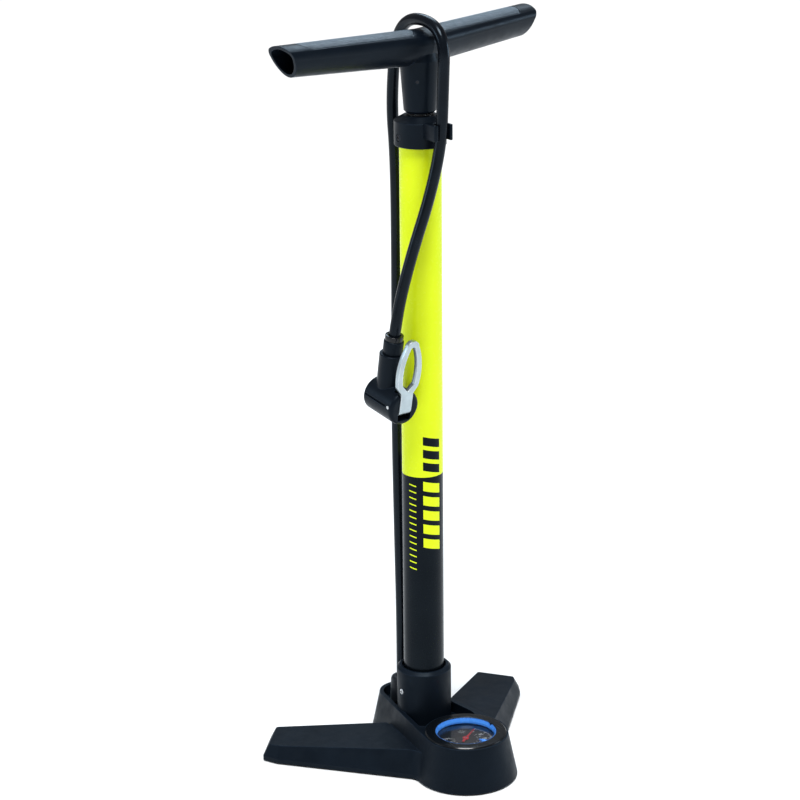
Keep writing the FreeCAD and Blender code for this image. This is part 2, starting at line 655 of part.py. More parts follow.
# ---------------------------------------------------------------- hose
def hose_edges():
    """The hose's centre line as runs and tangent arcs; prints the arcs' radii."""
    points = [Vector(*point) for point in HOSE_ROUTE]
    pieces = []
    start = points[0]
    for index in range(1, len(points) - 1):
        corner = points[index]
        before = points[index - 1] - corner
        after = points[index + 1] - corner
        turn = math.pi - before.getAngle(after)
        reach = 0.45 * min(before.Length, after.Length)
        radius = reach / math.tan(turn / 2)
        before.normalize()
        after.normalize()
        enter = corner + before * reach
        leave = corner + after * reach
        inward = before + after
        inward.normalize()
        centre = corner + inward * (radius / math.cos(turn / 2))
        middle = centre - inward * radius
        pieces.append([(start, enter)])
        pieces.append([(enter, middle, leave)])
        start = leave
        print("hose radius", index, round(radius, 1), "turn", round(math.degrees(turn), 1))
    pieces.append([(start, points[-1])])
    return pieces, points


def hose_parts():
    """The hose in three lengths: up the back, over the handle, and down the front."""
    pieces, points = hose_edges()
    parts = [[]]
    for number, piece in enumerate(pieces):
        run = number // 2
        if number % 2 == 0 and run in (REAR_SPLIT, FRONT_SPLIT):
            middle = (points[run] + points[run + 1]) * 0.5
            parts[-1].append((piece[0][0], middle))
            parts.append([(middle, piece[0][1])])
        else:
            parts[-1].extend(piece)
    return [hose_tube(part) for part in parts]


def hose_tube(path):
    """A plain round tube along a path of runs and arcs."""
    edges = []
    for step in path:
        if len(step) == 2:
            edges.append(Part.LineSegment(*step).toShape())
        else:
            edges.append(Part.Arc(*step).toShape())
    wire = Part.Wire(edges)
    first = path[0]
    section = Part.Wire(Part.makeCircle(HOSE_R, first[0], first[1] - first[0]))
    tube = wire.makePipeShell([section], True, False)
    share = tube.Volume / (math.pi * HOSE_R ** 2 * wire.Length)
    print("hose length", round(wire.Length, 1), "volume over section x length", round(share, 4))
    return tube


# ---------------------------------------------------------------- pump head
def head_placement():
    """Turns the pump head's own axes (forward, right, up) into the pump's."""
    up = Vector(CHUCK_UP)
    up.normalize()
    forward = CHUCK_FORWARD - up * CHUCK_FORWARD.dot(up)
    forward.normalize()
    side = up.cross(forward)
    return FreeCAD.Matrix(
        forward.x, side.x, up.x, CHUCK_CENTRE.x,
        forward.y, side.y, up.y, CHUCK_CENTRE.y,
        forward.z, side.z, up.z, CHUCK_CENTRE.z,
        0, 0, 0, 1)


def on_head(shape):
    return shape.transformed(HEAD_MATRIX, True)


def along(radius, start, end):
    """A cylinder on the pump head's long axis."""
    return Part.makeCylinder(radius, end - start, Vector(start, 0, 0), Vector(1, 0, 0))


def cam_space(radius, half_width):
    """A cylinder across the head about the lever's pin."""
    return Part.makeCylinder(radius, 2 * half_width, Vector(LEVER_PIN[0], -half_width, LEVER_PIN[1]),
                             Vector(0, 1, 0))


def head_body():
    body = along(CHUCK_R, CHUCK_BACK, CHUCK_FRONT)
    rims = [edge for edge in body.Edges if edge.BoundBox.XLength < 0.1]
    body = body.makeFillet(3.4, rims)
    neck = Part.makeCone(10.4, 10.8, NECK_TUBE_TOP, Vector(0, 0, 0), Vector(0, 0, 1))
    top_rim = [edge for edge in neck.Edges if abs(edge.CenterOfMass.z - NECK_TUBE_TOP) < 0.1]
    body = body.fuse(neck.makeFillet(1.0, top_rim))
    pin_x, pin_z = LEVER_PIN
    body = body.cut(along(8.0, CHUCK_BACK - 1, pin_x - 6.4))
    body = body.cut(box(pin_x - 10.0, 40, -6.7, 6.7, pin_z - 12.6, 9.8))
    body = body.cut(box(pin_x - 4.0, 40, -6.7, 6.7, pin_z - 12.6, 30))
    body = body.cut(disc(2.5, 4.0, NECK_TUBE_TOP + 1))
    for side in (-1, 1):
        outer = side * CHUCK_R
        groove = box(CHUCK_BACK - 1, pin_x - 3.5, outer - 1.6, outer + 1.6, pin_z - 0.7, pin_z + 1.1)
        body = body.cut(groove)
    return one_solid(body.cut(cam_space(LEVER_PIN_R, 20)))


def head_valve_ring():
    """The ring that holds the rubber seal in the valve's end of the head."""
    return along(8.0, CHUCK_BACK - 0.6, SEAL_FROM).cut(along(VALVE_R + 0.2, -40, 0))


def head_seal():
    return along(7.8, SEAL_FROM, SEAL_TO).cut(along(VALVE_R - 0.2, -40, 0))


def head_plunger():
    """The sleeve that the lever's cam pushes against the rubber seal."""
    sleeve = along(8.0 - FIT, -6.5, LEVER_PIN[0] - CAM_R - 0.8)
    return sleeve.cut(along(2.4, -9.0, 1.0)).cut(disc(2.4, 0, 20, -1.5)).cut(box(-5.0, 4, -2.4, 2.4, 2, 20))


def lever():
    """The loop lever: a teardrop ring on a shank, with a round cam about its pin."""
    back = LEVER_PIN[0] + CAM_R - LEVER_THICK

    def plate(outline_points, steps):
        edges = []
        for first, via, last in steps:
            start = Vector(back, *outline_points[first])
            end = Vector(back, *outline_points[last])
            if via is None:
                edges.append(Part.LineSegment(start, end).toShape())
            else:
                edges.append(Part.Arc(start, Vector(back, *outline_points[via]), end).toShape())
        return Part.Face(Part.Wire(edges)).extrude(Vector(LEVER_THICK, 0, 0))

    half = LEVER_WIDTH / 2
    top = LEVER_PIN[1] + LEVER_HEIGHT
    low = half - 1.2
    outer = [(-6.2, 0.0), (6.2, 0.0), (6.2, 14.2), (low, 20.0), (half, 34.0), (6.2, top - 5.4),
             (0.0, top), (-6.2, top - 5.4), (-half, 34.0), (-low, 20.0), (-6.2, 14.2)]
    blank = plate(outer, [(0, None, 1), (1, None, 2), (2, None, 3), (3, 4, 5), (5, 6, 7), (7, 8, 9),
                          (9, None, 10), (10, None, 0)])
    hole = [(0.0, 16.0), (6.0, 22.2), (6.9, 36.0), (2.6, top - 8.0), (0.0, top - 5.6),
            (-2.6, top - 8.0), (-6.9, 36.0), (-6.0, 22.2)]
    window = plate(hole, [(0, None, 1), (1, 2, 3), (3, 4, 5), (5, 6, 7), (7, None, 0)])
    blank = blank.cut(window)
    cam = Part.makeCylinder(CAM_R, 12.4, Vector(LEVER_PIN[0], -6.2, LEVER_PIN[1] - CAM_OFFSET),
                            Vector(0, 1, 0))
    shank = blank.fuse(cam).cut(cam_space(LEVER_PIN_R + FIT, 20))
    shank.rotate(Vector(LEVER_PIN[0], 0, LEVER_PIN[1]), Vector(0, 1, 0), LEVER_LEAN)
    return one_solid(shank)


def lever_pin():
    return cam_space(LEVER_PIN_R, CHUCK_R - 0.1)


def head_nut():
    """The nut that clamps the hose to the head's neck."""
    nut = Part.makeCylinder(8.4, 12.0, Vector(0, 0, NECK_TUBE_TOP))
    rims = [edge for edge in nut.Edges if abs(edge.CenterOfMass.z - NECK_TUBE_TOP - 12.0) < 0.1]
    nut = nut.makeChamfer(0.8, rims)
    nut = nut.cut(disc(HOSE_R + 0.2, NECK_TUBE_TOP + 5.9, 90))
    return nut.cut(disc(2.0, NECK_TUBE_TOP - 1, 90))


def crimp_ring():
    """The thin ring round the hose above the nut."""
    return ring(7.7, HOSE_R + 0.2, NECK_TUBE_TOP + 12.0, NECK_TUBE_TOP + 16.5)


# ---------------------------------------------------------------- write every piece
HEAD_MATRIX = head_placement()

PIECES = {
    "base_moulding": base_moulding(),
    "base_plate": base_plate(),
    "base_plate_screws": base_plate_screws(),
    "foot_pad_right": foot_pad(),
    "foot_pad_left": mirrored(foot_pad()),
    "foot_pad_front": front_pad(),
    "foot_pad_middle": middle_pad(),
    "tower_screw": side_screw(TOWER_R, TOWER_SCREW_Z),
    "barrel": barrel(),
    "barrel_gasket": barrel_gasket(),
    "valve_seat": valve_seat(),
    "valve_disc": valve_disc(),
    "valve_spring": valve_spring(),
    "valve_cage": valve_cage(),
    "air_manifold": air_manifold(),
    "hose_barb": hose_barb(),
    "strain_relief": strain_relief(),
    "gauge_case": gauge_case(),
    "gauge_inlet": gauge_inlet(),
    "bourdon_tube": bourdon_tube(),
    "gauge_movement": gauge_movement(),
    "needle_arbor": needle_arbor(),
    "gauge_dial": gauge_dial(),
    "gauge_needle": gauge_needle(),
    "gauge_lens": gauge_lens(),
    "gauge_bezel": gauge_bezel(),
    "marker_ring": marker_ring(),
    "top_cap": top_cap(),
    "cap_screw": side_screw(CAP_R, CAP_SCREW_Z),
    "rod_bushing": rod_bushing(),
    "top_bumper": top_bumper(),
    "hose_clip": hose_clip(),
    "piston_rod": piston_rod(),
    "piston_head": piston_head(),
    "piston_seal": piston_seal(),
    "piston_washer": piston_washer(),
    "piston_nut": piston_nut(),
    "handle_body": handle_body(),
    "grip_pad_right": turned_with_handle(grip_pad(0.0)),
    "grip_pad_left": turned_with_handle(mirrored(grip_pad(0.0))),
    "neck_pin": neck_pin_blank(NECK_PIN_REACH),
    "head_body": on_head(head_body()),
    "head_valve_ring": on_head(head_valve_ring()),
    "head_seal": on_head(head_seal()),
    "head_plunger": on_head(head_plunger()),
    "head_nut": on_head(head_nut()),
    "crimp_ring": on_head(crimp_ring()),
    "lever": on_head(lever()),
    "lever_pin": on_head(lever_pin()),
}
PIECES.update(zip(("hose_rear", "hose_loop", "hose_front"), hose_parts()))

for name, shape in PIECES.items():
    save(shape, name)
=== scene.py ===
import json
import math
from collections import namedtuple

import bmesh
import bpy
from mathutils import Matrix, Vector


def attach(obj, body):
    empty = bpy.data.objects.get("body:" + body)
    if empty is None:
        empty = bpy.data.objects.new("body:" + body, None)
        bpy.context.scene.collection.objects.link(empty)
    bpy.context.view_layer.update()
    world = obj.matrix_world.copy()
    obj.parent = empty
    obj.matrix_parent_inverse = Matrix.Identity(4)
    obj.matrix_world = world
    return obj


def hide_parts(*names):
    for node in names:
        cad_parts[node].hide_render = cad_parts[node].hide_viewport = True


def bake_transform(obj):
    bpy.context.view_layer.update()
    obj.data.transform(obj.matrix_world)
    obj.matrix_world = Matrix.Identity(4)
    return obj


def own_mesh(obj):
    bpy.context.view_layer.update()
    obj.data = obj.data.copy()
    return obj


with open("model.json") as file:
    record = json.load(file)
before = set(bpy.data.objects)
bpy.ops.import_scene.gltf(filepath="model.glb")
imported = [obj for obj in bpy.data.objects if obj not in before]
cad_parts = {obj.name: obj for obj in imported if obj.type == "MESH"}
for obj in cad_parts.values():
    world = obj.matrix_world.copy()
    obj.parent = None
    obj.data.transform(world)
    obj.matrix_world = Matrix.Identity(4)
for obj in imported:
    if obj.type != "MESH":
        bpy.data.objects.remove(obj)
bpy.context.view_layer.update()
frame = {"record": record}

# ---------------------------------------------------------------- measures, in metres
BARREL_R = 0.0175
PAINT_LINE = 0.2566             # height where the yellow paint gives way to black
# A column of bars printed on the barrel: its turn from the front in degrees, half its width, its
# lowest height, how many bars, their spacing, the share of it that is inked, and their slant.
Bars = namedtuple("Bars", "turn half_width lowest count pitch inked slant")
UPPER_BARS = Bars(-5.0, 0.0080, 0.2610, 3, 0.0113, 0.66, 0.25)
LOWER_BARS = Bars(-5.0, 0.0080, 0.1915, 5, 0.0128, 0.66, 0.25)
FINE_BARS = Bars(-62.0, 0.0034, 0.1730, 14, 0.0058, 0.20, 0.20)


# ---------------------------------------------------------------- camera
LENS = 115.8                    # focal length in millimetres
FRAME_WIDTH = 36.0              # width of the camera's frame in millimetres
CAMERA_PLACE = (-1.1079, -1.7379, 0.9978)
CAMERA_TURN = -32.0             # degrees about the upright, from looking along +Y
CAMERA_DROP = 18.2              # degrees below level
CAMERA_ROLL = -0.56


def camera():
    """A long lens, well above the handle, looking down on the gauge side."""
    data = bpy.data.cameras.new("camera")
    data.lens = LENS
    data.sensor_width = FRAME_WIDTH
    data.clip_end = 20.0
    obj = bpy.data.objects.new("camera", data)
    bpy.context.scene.collection.objects.link(obj)
    turn = Matrix.Rotation(math.radians(CAMERA_TURN), 4, "Z")
    tilt = Matrix.Rotation(math.radians(90.0 - CAMERA_DROP), 4, "X")
    roll = Matrix.Rotation(math.radians(CAMERA_ROLL), 4, "Z")
    obj.matrix_world = Matrix.Translation(CAMERA_PLACE) @ turn @ tilt @ roll
    bpy.context.scene.camera = obj


# ---------------------------------------------------------------- hose route
HOSE_R = 0.00485
HOSE_SIDES = 32
HOSE_ROUTE = [
    (0.0, 0.0360, 0.0331),
    (0.0, 0.0356, 0.1000),
    (0.0, 0.0382, 0.1900),
    (-0.0005, 0.0398, 0.3000),
    (0.0, 0.0380, 0.4200),
    (-0.0005, 0.0372, 0.5200),
    (-0.0035, 0.0390, 0.5720),
    (-0.0003, 0.0318, 0.6420),
    (0.0030, -0.0330, 0.6420),
    (0.0010, -0.0325, 0.5840),
    (0.0, -0.0315, 0.5460),
    (-0.0100, -0.0295, 0.5030),
    (-0.0223, -0.0245, 0.4620),
    (-0.0320, -0.0196, 0.4220),
    (-0.0379, -0.0191, 0.3929),
    (-0.0384, -0.0167, 0.3781),
]


def route_line():
    """Close points along the smooth line of the hose's route."""
    curve = bpy.data.curves.new("route", "CURVE")
    curve.dimensions = "3D"
    curve.resolution_u = 24
    spline = curve.splines.new("NURBS")
    spline.points.add(len(HOSE_ROUTE) - 1)
    for point, place in zip(spline.points, HOSE_ROUTE):
        point.co = (*place, 1.0)
    spline.order_u = 3
    spline.use_endpoint_u = True
    obj = bpy.data.objects.new("route", curve)
    mesh = bpy.data.meshes.new_from_object(obj)
    line = [vertex.co.copy() for vertex in mesh.vertices]
    bpy.data.objects.remove(obj)
    bpy.data.curves.remove(curve)
    bpy.data.meshes.remove(mesh)
    return line


# ---------------------------------------------------------------- mesh helpers
SHORTEST_EDGE = 0.00015         # edges below this are closed up before corners are rounded
NEARLY_FLAT = math.radians(1.0)
HARD_CORNER = math.radians(28.0)


def finished(name, bm, look, smooth):
    """The mesh object that a bmesh becomes, with soft and sharp edges sorted."""
    bmesh.ops.remove_doubles(bm, verts=bm.verts, dist=1e-6)
    bmesh.ops.recalc_face_normals(bm, faces=bm.faces)
    mesh = bpy.data.meshes.new(name)
    bm.to_mesh(mesh)
    bm.free()
    mesh.materials.append(look)
    mesh.shade_smooth()
    mesh.set_sharp_from_angle(angle=math.radians(smooth))
    obj = bpy.data.objects.new(name, mesh)
    bpy.context.scene.collection.objects.link(obj)
    return obj


def piece(name, build, body, look, smooth=35.0):
    """A mesh object made by build(bm), riding on a body, with a look."""
    bm = bmesh.new()
    build(bm)
    obj = finished(name, bm, look, smooth)
    if body:
        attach(obj, body)
    return obj


def rounded(node, width, looks):
    """A finer copy of a designed piece, its hard corners rounded over, that stands in for it."""
    bm = bmesh.new()
    bm.from_mesh(bpy.data.objects[node].data)
    bmesh.ops.remove_doubles(bm, verts=bm.verts, dist=SHORTEST_EDGE)
    bmesh.ops.dissolve_limit(bm, angle_limit=NEARLY_FLAT, verts=bm.verts, edges=bm.edges)
    corners = [edge for edge in bm.edges if edge.is_manifold and edge.calc_face_angle() > HARD_CORNER]
    bmesh.ops.bevel(bm, geom=corners, offset=width, offset_type="OFFSET", segments=3, profile=0.5,
                    affect="EDGES", clamp_overlap=True, material=-1)
    slot = next(entry["material_slot"] for entry in frame["record"]["subparts"] if entry["node"] == node)
    bodies = frame["record"]["behaviour"]["bodies"]
    obj = finished(node + "_rounded", bm, looks[slot], 40.0)
    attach(obj, next(body for body in bodies if node in bodies[body]))
    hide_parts(node)
    return obj


def hose_tube(bm, line, radius, sides):
    """A round tube whose rings follow the line without twisting."""
    uv = bm.loops.layers.uv.new("along")
    side = Vector((1.0, 0.0, 0.0))
    rings = []
    travelled = [0.0]
    for index, place in enumerate(line):
        before = line[max(index - 1, 0)]
        after = line[min(index + 1, len(line) - 1)]
        heading = (after - before).normalized()
        side = (side - heading * side.dot(heading)).normalized()
        other = heading.cross(side)
        turn = Matrix((side, other, heading)).transposed().to_4x4()
        circle = bmesh.ops.create_circle(bm, segments=sides, radius=radius,
                                         matrix=Matrix.Translation(place) @ turn)
        rings.append(circle["verts"])
        if index:
            travelled.append(travelled[-1] + (place - line[index - 1]).length)
    for index in range(len(rings) - 1):
        for k in range(sides):
            n = (k + 1) % sides
            face = bm.faces.new((rings[index][k], rings[index][n], rings[index + 1][n], rings[index + 1][k]))
            left, right = k / sides, (k + 1) / sides
            near, far = travelled[index], travelled[index + 1]
            for loop, place in zip(face.loops, ((left, near), (right, near), (right, far), (left, far))):
                loop[uv].uv = place
    bm.faces.new(rings[0][::-1])
    bm.faces.new(rings[-1])


# ---------------------------------------------------------------- material helpers
class Finish:
    """A material in the making: its node tree, its main shader and where the surface is."""

    def __init__(self, name, roughness=0.5, metallic=0.0, specular=0.5):
        self.made = bpy.data.materials.new(name)
        self.made.use_nodes = True
        self.tree = self.made.node_tree
        self.tree.nodes.clear()
        output = self.tree.nodes.new("ShaderNodeOutputMaterial")
        self.shader = self.tree.nodes.new("ShaderNodeBsdfPrincipled")
        self.tree.links.new(self.shader.outputs["BSDF"], output.inputs["Surface"])
        self.shader.inputs["Roughness"].default_value = roughness
        self.shader.inputs["Metallic"].default_value = metallic
        self.shader.inputs["Specular IOR Level"].default_value = specular
        self.place = self.node("TexCoord").outputs["Object"]

    def node(self, kind, inputs=(), **settings):
        """A node with its settings made and its inputs set or joined."""
        made = self.tree.nodes.new("ShaderNode" + kind)
        for key, value in settings.items():
            setattr(made, key, value)
        for key, value in dict(inputs).items():
            self.feed(made.inputs[key], value)
        return made

    def feed(self, socket, value):
        """Joins another node's output to a socket, or sets the socket to a number or colour."""
        if isinstance(value, bpy.types.NodeSocket):
            self.tree.links.new(value, socket)
        else:
            socket.default_value = value

    def math(self, operation, first, second=0.0):
        """The output of one step of arithmetic."""
        return self.node("Math", {0: first, 1: second}, operation=operation).outputs[0]

    def noise(self, scale, detail=2.0, place=None):
        """A cloudy pattern from 0 to 1, with scale clouds to the metre."""
        source = self.place if place is None else place
        return self.node("TexNoise", {"Vector": source, "Scale": scale, "Detail": detail}).outputs[0]

    def stretched(self, x, y, z):
        """The surface's place, pulled out of shape so that a grain runs one way."""
        return self.node("Mapping", {"Vector": self.place, "Scale": (x, y, z)}).outputs[0]

    def spread(self, value, low, high, start=0.3, end=0.7):
        """A 0 to 1 pattern turned into numbers from low to high."""
        inputs = {"Value": value, "From Min": start, "From Max": end, "To Min": low, "To Max": high}
        return self.node("MapRange", inputs).outputs[0]

    def mixed(self, factor, first, second):
        """The first colour where factor is 0, the second where it is 1."""
        inputs = {0: factor, 6: first, 7: second}
        return self.node("Mix", inputs, data_type="RGBA").outputs[2]

    def colour(self, value):
        self.feed(self.shader.inputs["Base Color"], value)

    def rough(self, value):
        self.feed(self.shader.inputs["Roughness"], value)

    def relief(self, height, depth, edge=0.0, strength=1.0):
        """Surface relief of a real depth, over edges that look rounded by edge."""
        bump = self.node("Bump", {"Height": height, "Distance": depth, "Strength": strength})
        if edge:
            soft = self.node("Bevel", {"Radius": edge}, samples=4)
            self.tree.links.new(soft.outputs[0], bump.inputs["Normal"])
        self.tree.links.new(bump.outputs[0], self.shader.inputs["Normal"])

    def edge_wear(self, radius):
        """0 on open surfaces, rising to 1 along corners; it places rubbed wear, painted highlights and
        painted shade.
        """
        soft = self.node("Bevel", {"Radius": radius}, samples=4).outputs[0]
        true = self.node("NewGeometry").outputs["Normal"]
        along = self.node("VectorMath", {0: soft, 1: true}, operation="DOT_PRODUCT").outputs["Value"]
        return self.spread(along, 1.0, 0.0, 0.80, 0.995)


def rgb(red, green, blue):
    """An opaque colour."""
    return (red, green, blue, 1.0)


def scaled(colour, share):
    """A colour made darker by a share under 1, or paler by one over 1."""
    return rgb(*(channel * share for channel in colour[:3]))


# ---------------------------------------------------------------- materials
COOL = rgb(0.70, 0.86, 1.0)     # the bluish cast of light on the dark plastic, rubber and paint


def moulded_plastic(name, colour, roughness):
    """Satin moulded plastic: fine spark-eroded grain, faint flow clouds and paler corners, partly rubbed
    wear and partly painted highlight.
    """
    f = Finish(name, roughness, specular=0.22)
    clouds = f.noise(28.0, 4.0)
    body = f.mixed(f.spread(clouds, 0.0, 1.0), scaled(colour, 0.82), scaled(colour, 1.18))
    # Corners painted paler: partly rubbed wear, partly a painted highlight along the rims.
    scuffs_and_edge_highlight = f.math("MULTIPLY", f.edge_wear(0.0012), f.spread(f.noise(160.0, 3.0), 0.35, 0.9))
    f.colour(f.mixed(scuffs_and_edge_highlight, body, scaled(colour, 4.5)))
    f.rough(f.spread(f.noise(90.0, 3.0), roughness - 0.06, roughness + 0.08))
    f.relief(f.noise(1000.0, 2.0), 0.00008, 0.0008)
    f.shader.inputs["Specular Tint"].default_value = COOL
    return f.made


def soft_rubber(name, colour, roughness, grain, depth, bloom=0.15):
    """Matt rubber with a pebbled skin whose tips are painted paler as a highlight, and a pale bloom that
    shows at a low angle.
    """
    f = Finish(name, roughness, specular=0.35)
    cells = f.node("TexVoronoi", {"Vector": f.place, "Scale": grain}, feature="SMOOTH_F1")
    pebbles = cells.outputs["Distance"]
    patches = f.mixed(f.spread(f.noise(60.0, 4.0), 0.0, 1.0), scaled(colour, 0.85), scaled(colour, 1.3))
    # Painted highlight: the tips of the pebbles are painted paler.
    painted_tip_highlight = f.spread(pebbles, 0.8, 0.0, 0.05, 0.45)
    f.colour(f.mixed(painted_tip_highlight, patches, scaled(colour, 2.6)))
    f.rough(f.spread(f.noise(200.0), roughness - 0.05, roughness + 0.08))
    f.relief(pebbles, depth, 0.0005)
    f.shader.inputs["Sheen Weight"].default_value = bloom
    f.shader.inputs["Sheen Roughness"].default_value = 0.4
    f.shader.inputs["Sheen Tint"].default_value = COOL
    return f.made


def gloss_plastic(name, colour, roughness):
    """Polished moulded plastic with very faint ripple and hairline scratches."""
    f = Finish(name, roughness)
    f.colour(f.mixed(f.spread(f.noise(45.0, 3.0), 0.0, 1.0), scaled(colour, 0.85), scaled(colour, 1.15)))
    hairlines = f.noise(900.0, 2.0, f.stretched(1.0, 0.05, 1.0))
    f.rough(f.spread(hairlines, roughness - 0.04, roughness + 0.1, 0.45, 0.75))
    f.relief(f.noise(220.0, 1.0), 0.00003, 0.0004, 0.4)
    return f.made


def bright_metal(name, colour, roughness):
    """Bare or plated metal with the fine lines of its last machining."""
    f = Finish(name, roughness, metallic=1.0)
    lines = f.noise(1600.0, 2.0, f.stretched(1.0, 1.0, 0.02))
    stain = f.noise(70.0, 4.0)
    f.colour(f.mixed(f.spread(stain, 0.0, 1.0), scaled(colour, 0.88), colour))
    f.rough(f.spread(lines, roughness * 0.75, roughness * 1.35))
    f.relief(lines, 0.00001, 0.0003, 0.5)
    return f.made


def cast_alloy():
    """Satin cast alloy: a cool silver with tumbled grain and brighter worn edges."""
    f = Finish("lever_alloy", 0.36, metallic=1.0)
    colour = rgb(0.50, 0.57, 0.60)
    wear = f.edge_wear(0.0012)
    body = f.mixed(f.spread(f.noise(120.0, 4.0), 0.0, 1.0), scaled(colour, 0.86), colour)
    f.colour(f.mixed(wear, body, rgb(0.86, 0.90, 0.92)))
    f.rough(f.spread(f.noise(500.0, 3.0), 0.30, 0.46))
    f.relief(f.noise(1300.0, 2.0), 0.00005, 0.0006, 0.6)
    return f.made


def chrome():
    """Polished plating, with the faint rings that sliding in the guide leaves."""
    f = Finish("chrome", 0.07, metallic=1.0)
    rings = f.noise(700.0, 2.0, f.stretched(0.05, 0.05, 1.0))
    f.colour(f.mixed(f.spread(f.noise(30.0), 0.0, 1.0), rgb(0.72, 0.74, 0.76), rgb(0.84, 0.85, 0.86)))
    f.rough(f.spread(rings, 0.05, 0.16, 0.4, 0.8))
    f.relief(rings, 0.000004, 0.0, 0.5)
    return f.made


def printed_bars(f, bars):
    """1 inside a column of slanted bars printed up the barrel, 0 elsewhere."""
    split = f.node("SeparateXYZ", {0: f.place})
    angle = f.math("ARCTAN2", split.outputs["X"], f.math("MULTIPLY", split.outputs["Y"], -1.0))
    across = f.math("MULTIPLY", f.math("SUBTRACT", angle, math.radians(bars.turn)), BARREL_R)
    inside = f.math("LESS_THAN", f.math("ABSOLUTE", across), bars.half_width)
    leaning = f.math("ADD", split.outputs["Z"], f.math("MULTIPLY", across, bars.slant))
    steps = f.math("DIVIDE", f.math("SUBTRACT", leaning, bars.lowest), bars.pitch)
    bar = f.math("LESS_THAN", f.math("FRACT", steps), bars.inked)
    above_first = f.math("GREATER_THAN", steps, 0.0)
    below_last = f.math("LESS_THAN", steps, bars.count)
    between = f.math("MULTIPLY", above_first, below_last)
    return f.math("MULTIPLY", f.math("MULTIPLY", inside, bar), between)


def barrel_paint():
    """Gloss yellow above gloss black, with plain slanted bars printed in the opposite colour."""
    f = Finish("barrel_paint", 0.22, specular=0.2)
    height = f.node("SeparateXYZ", {0: f.place}).outputs["Z"]
    above = f.math("GREATER_THAN", height, PAINT_LINE)
    bold = f.math("MAXIMUM", printed_bars(f, UPPER_BARS), printed_bars(f, LOWER_BARS))
    marks = f.math("MAXIMUM", bold, printed_bars(f, FINE_BARS))
    swapped = f.math("ABSOLUTE", f.math("SUBTRACT", above, marks))
    cloud = f.spread(f.noise(25.0, 3.0), 0.0, 1.0)
    yellow = f.mixed(cloud, rgb(0.80, 0.94, 0.020), rgb(0.85, 0.99, 0.028))
    black = f.mixed(cloud, rgb(0.003, 0.005, 0.008), rgb(0.006, 0.009, 0.013))
    f.colour(f.mixed(swapped, black, yellow))
    f.rough(f.spread(f.noise(300.0, 3.0), 0.18, 0.30))
    f.relief(f.math("ADD", f.noise(420.0, 1.0), marks), 0.00002, 0.0003, 0.5)
    f.shader.inputs["Specular Tint"].default_value = COOL
    return f.made


def hose_rubber():
    """Smooth extruded rubber with faint draw lines along it and a dusty bloom."""
    f = Finish("hose_rubber", 0.22, specular=0.32)
    along = f.node("UVMap", uv_map="along").outputs[0]
    lines = f.noise(40.0, 3.0, f.node("Mapping", {"Vector": along, "Scale": (1.0, 0.6, 1.0)}).outputs[0])
    bloom = f.noise(75.0, 4.0)
    f.colour(f.mixed(f.spread(bloom, 0.0, 1.0), rgb(0.003, 0.004, 0.007), rgb(0.006, 0.009, 0.014)))
    f.rough(f.spread(bloom, 0.20, 0.28))
    f.relief(f.math("ADD", lines, f.noise(1500.0, 2.0)), 0.00003, 0.0, 0.6)
    f.shader.inputs["Specular Tint"].default_value = COOL
    return f.made


def clear_lens():
    """Clear window with a faint tint and wiping marks."""
    f = Finish("lens", 0.02)
    f.shader.inputs["Transmission Weight"].default_value = 1.0
    f.shader.inputs["IOR"].default_value = 1.45
    wiped = f.noise(300.0, 3.0, f.stretched(1.0, 0.1, 1.0))
    f.colour(f.mixed(f.spread(wiped, 0.0, 1.0), rgb(0.95, 0.97, 1.0), rgb(1.0, 1.0, 1.0)))
    f.rough(f.spread(wiped, 0.0, 0.03, 0.5, 0.8))
    return f.made


def printed(name, colour):
    """Screen-printed ink, slightly uneven."""
    f = Finish(name, 0.55)
    f.colour(f.mixed(f.spread(f.noise(500.0, 3.0), 0.0, 1.0), scaled(colour, 0.88), colour))
    f.relief(f.noise(2500.0, 2.0), 0.00001)
    return f.made


def tinted_marker():
    """Bright blue translucent plastic, with painted shade darkening it along its corners."""
    f = Finish("marker_blue", 0.25)
    colour = rgb(0.10, 0.37, 0.96)
    # Painted shade: the corners are painted a darker blue.
    painted_corner_shade = f.edge_wear(0.0010)
    body = f.mixed(f.spread(f.noise(80.0, 3.0), 0.0, 1.0), scaled(colour, 0.9), colour)
    f.colour(f.mixed(painted_corner_shade, body, rgb(0.012, 0.055, 0.30)))
    f.rough(f.spread(f.noise(300.0, 2.0), 0.2, 0.34))
    f.relief(f.noise(900.0, 2.0), 0.00002, 0.0003, 0.5)
    return f.made


def slot_looks():
    """One finish for each of the record's material slots."""
    navy = rgb(0.0045, 0.0085, 0.0150)
    return {
        "base_plastic": moulded_plastic("base_plastic", navy, 0.46),
        "cap_plastic": moulded_plastic("cap_plastic", rgb(0.0050, 0.0085, 0.0140), 0.36),
        "handle_plastic": moulded_plastic("handle_plastic", navy, 0.34),
        "inner_plastic": moulded_plastic("inner_plastic", rgb(0.60, 0.60, 0.57), 0.5),
        "grip_rubber": soft_rubber("grip_rubber", rgb(0.013, 0.020, 0.029), 0.42, 900.0, 0.00022, bloom=0.8),
        "rubber": soft_rubber("rubber", rgb(0.007, 0.010, 0.015), 0.45, 2200.0, 0.00005),
        "seal_rubber": soft_rubber("seal_rubber", rgb(0.020, 0.020, 0.021), 0.4, 2600.0, 0.00003),
        "hose_rubber": hose_rubber(),
        "barrel_paint": barrel_paint(),
        "steel": bright_metal("steel", rgb(0.62, 0.64, 0.66), 0.28),
        "chrome": chrome(),
        "brass": bright_metal("brass", rgb(0.72, 0.54, 0.25), 0.3),
        "gauge_black": gloss_plastic("gauge_black", rgb(0.004, 0.006, 0.009), 0.20),
        "dial_face": printed("dial_face", rgb(0.008, 0.008, 0.010)),
        "needle_red": gloss_plastic("needle_red", rgb(0.72, 0.02, 0.04), 0.35),
        "marker_blue": tinted_marker(),
        "lever_alloy": cast_alloy(),
        "lens": clear_lens(),
    }


